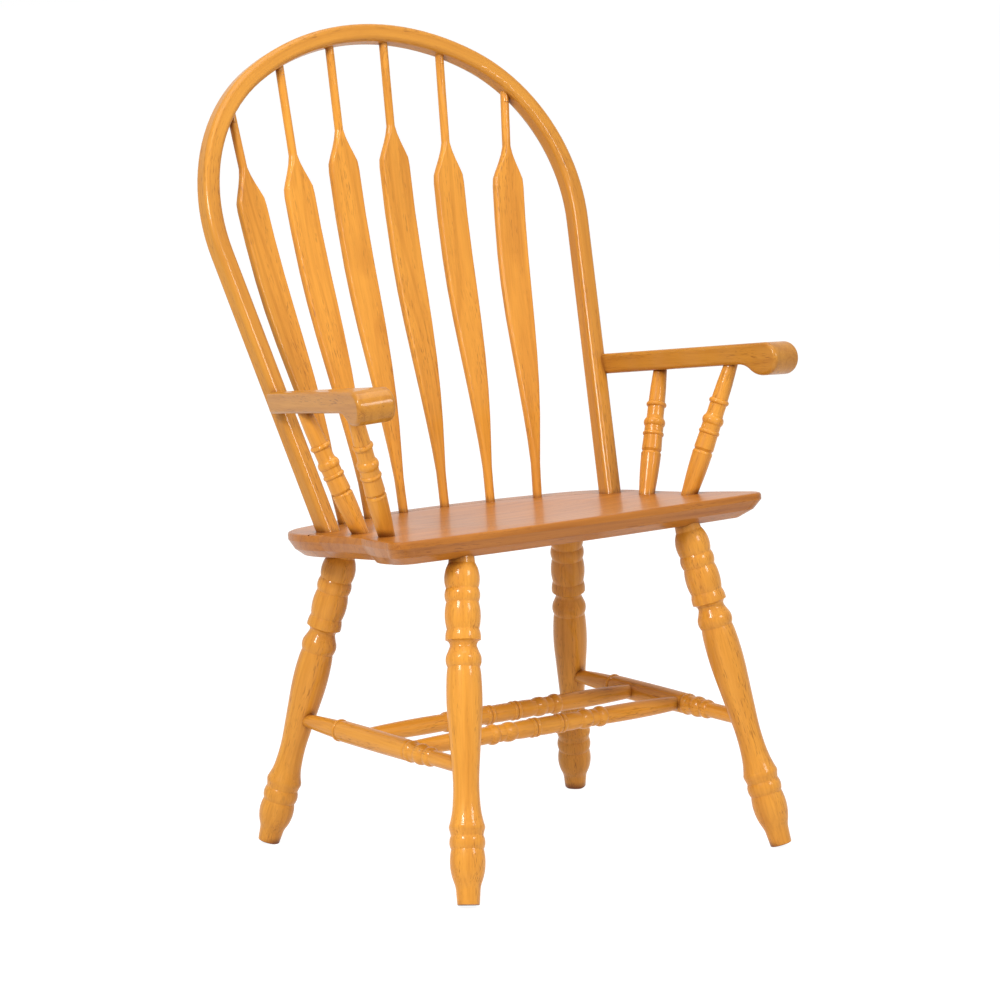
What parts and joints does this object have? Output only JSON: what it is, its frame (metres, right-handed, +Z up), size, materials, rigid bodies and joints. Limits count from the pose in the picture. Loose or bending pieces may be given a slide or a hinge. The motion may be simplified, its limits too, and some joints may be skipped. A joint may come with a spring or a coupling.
{
  "type": "bow-back dining armchair",
  "caption": "Wooden dining armchair with a bent bow back, arrow-shaped spindles, a shaped plank seat, turned legs, arm posts and stretchers.",
  "frame": {"origin": "on the floor, under the middle of the chair's overall width and depth", "axes": "+Z up, the sitter faces -Y, the sitter's left hand is on +X"},
  "size_m": [0.711, 0.6041, 1.0413],
  "materials": {
    "lacquered_wood": "honey-coloured hardwood under clear gloss lacquer",
    "screw_steel": "zinc-plated steel"
  },
  "bodies": {
    "root": {"seat": "lacquered_wood", "back_bow": "lacquered_wood", "cross_stretcher_front": "lacquered_wood", "cross_stretcher_rear": "lacquered_wood", "arm_left": "lacquered_wood", "arm_right": "lacquered_wood", "arm_post_front_left": "lacquered_wood", "arm_post_front_right": "lacquered_wood", "arm_post_rear_left": "lacquered_wood", "arm_post_rear_right": "lacquered_wood", "leg_front_left": "lacquered_wood", "leg_front_right": "lacquered_wood", "leg_rear_left": "lacquered_wood", "leg_rear_right": "lacquered_wood", "side_stretcher_left": "lacquered_wood", "side_stretcher_right": "lacquered_wood", "spindle_inner_left": "lacquered_wood", "spindle_inner_right": "lacquered_wood", "spindle_middle_left": "lacquered_wood", "spindle_middle_right": "lacquered_wood", "spindle_outer_left": "lacquered_wood", "spindle_outer_right": "lacquered_wood", "arm_screws": "screw_steel", "screw_plugs": "lacquered_wood"}
  },
  "joints": []
}
